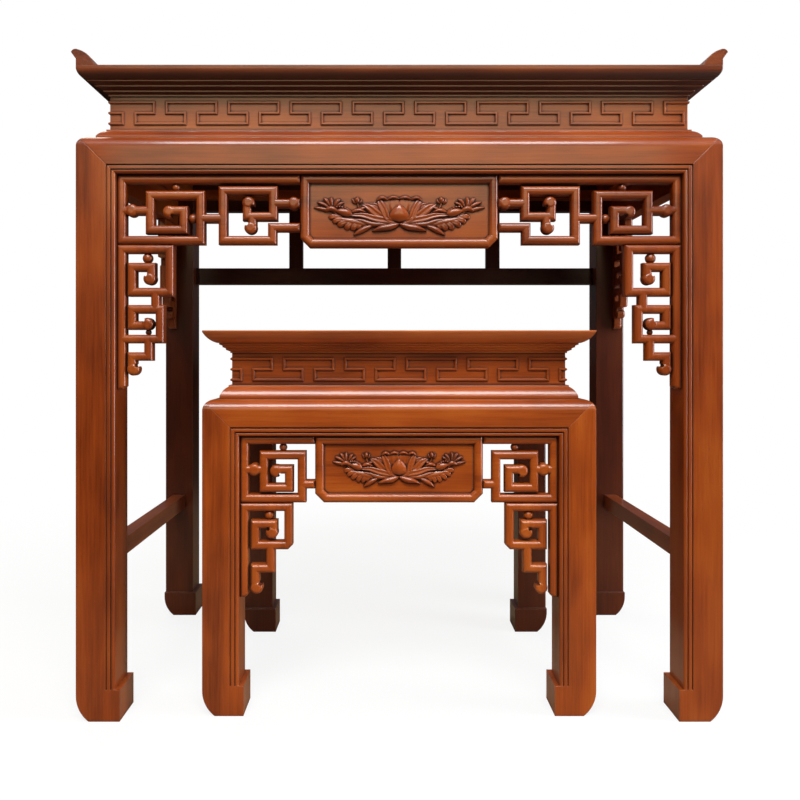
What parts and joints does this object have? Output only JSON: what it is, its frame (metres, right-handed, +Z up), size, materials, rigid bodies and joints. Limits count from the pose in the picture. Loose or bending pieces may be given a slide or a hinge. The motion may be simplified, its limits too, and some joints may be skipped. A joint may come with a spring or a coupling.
{
  "type": "nested altar table set",
  "caption": "Tall altar table with upturned ends and a smaller matching table that slides out from under it, with key-fret waists, lattice brackets, carved panels and hoof feet.",
  "frame": {"origin": "on the floor, under the middle of the tall table", "axes": "+X along the front to the viewer's right, +Y from the front to the back, +Z up"},
  "size_m": [1.08, 0.593, 1.1064],
  "materials": {
    "stained_wood": "red-brown stain under satin lacquer",
    "dark_wood": "dark stain, unpolished back and underside",
    "peg_wood": "bare hardwood"
  },
  "bodies": {
    "upper_table": {"upper_apron_back": "dark_wood", "upper_apron_front": "stained_wood", "upper_apron_left": "stained_wood", "upper_apron_right": "stained_wood", "upper_back_rail": "dark_wood", "upper_back_struts": "dark_wood", "upper_base_moulding": "stained_wood", "upper_carved_panel": "stained_wood", "upper_corner_dowels": "peg_wood", "upper_fret_left": "stained_wood", "upper_fret_right": "stained_wood", "upper_lattice_pegs": "peg_wood", "upper_left_wing": "stained_wood", "upper_leg_back_left": "stained_wood", "upper_leg_back_right": "stained_wood", "upper_leg_front_left": "stained_wood", "upper_leg_front_right": "stained_wood", "upper_right_wing": "stained_wood", "upper_side_spandrels": "stained_wood", "upper_spandrel_left": "stained_wood", "upper_spandrel_right": "stained_wood", "upper_stretcher_left": "stained_wood", "upper_stretcher_right": "stained_wood", "upper_top_back_rail": "dark_wood", "upper_top_battens": "dark_wood", "upper_top_front_rail": "stained_wood", "upper_top_left_rail": "stained_wood", "upper_top_panel": "stained_wood", "upper_top_right_rail": "stained_wood", "upper_waist_back": "dark_wood", "upper_waist_front": "stained_wood", "upper_waist_left": "stained_wood", "upper_waist_right": "stained_wood"},
    "lower_table": {"lower_apron_back": "dark_wood", "lower_apron_front": "stained_wood", "lower_apron_left": "stained_wood", "lower_apron_right": "stained_wood", "lower_base_moulding": "stained_wood", "lower_carved_panel": "stained_wood", "lower_corner_dowels": "peg_wood", "lower_fret_left": "stained_wood", "lower_fret_right": "stained_wood", "lower_lattice_pegs": "peg_wood", "lower_leg_back_left": "stained_wood", "lower_leg_back_right": "stained_wood", "lower_leg_front_left": "stained_wood", "lower_leg_front_right": "stained_wood", "lower_spandrel_left": "stained_wood", "lower_spandrel_right": "stained_wood", "lower_top_back_rail": "dark_wood", "lower_top_battens": "dark_wood", "lower_top_front_rail": "stained_wood", "lower_top_left_rail": "stained_wood", "lower_top_panel": "stained_wood", "lower_top_right_rail": "stained_wood", "lower_waist_back": "dark_wood", "lower_waist_front": "stained_wood", "lower_waist_left": "stained_wood", "lower_waist_right": "stained_wood"}
  },
  "joints": [
    {"name": "lower_table_slide", "type": "slide", "parent": "upper_table", "child": "lower_table", "axis": [0, -1, 0], "range_m": [-0.09, 0.5]}
  ]
}
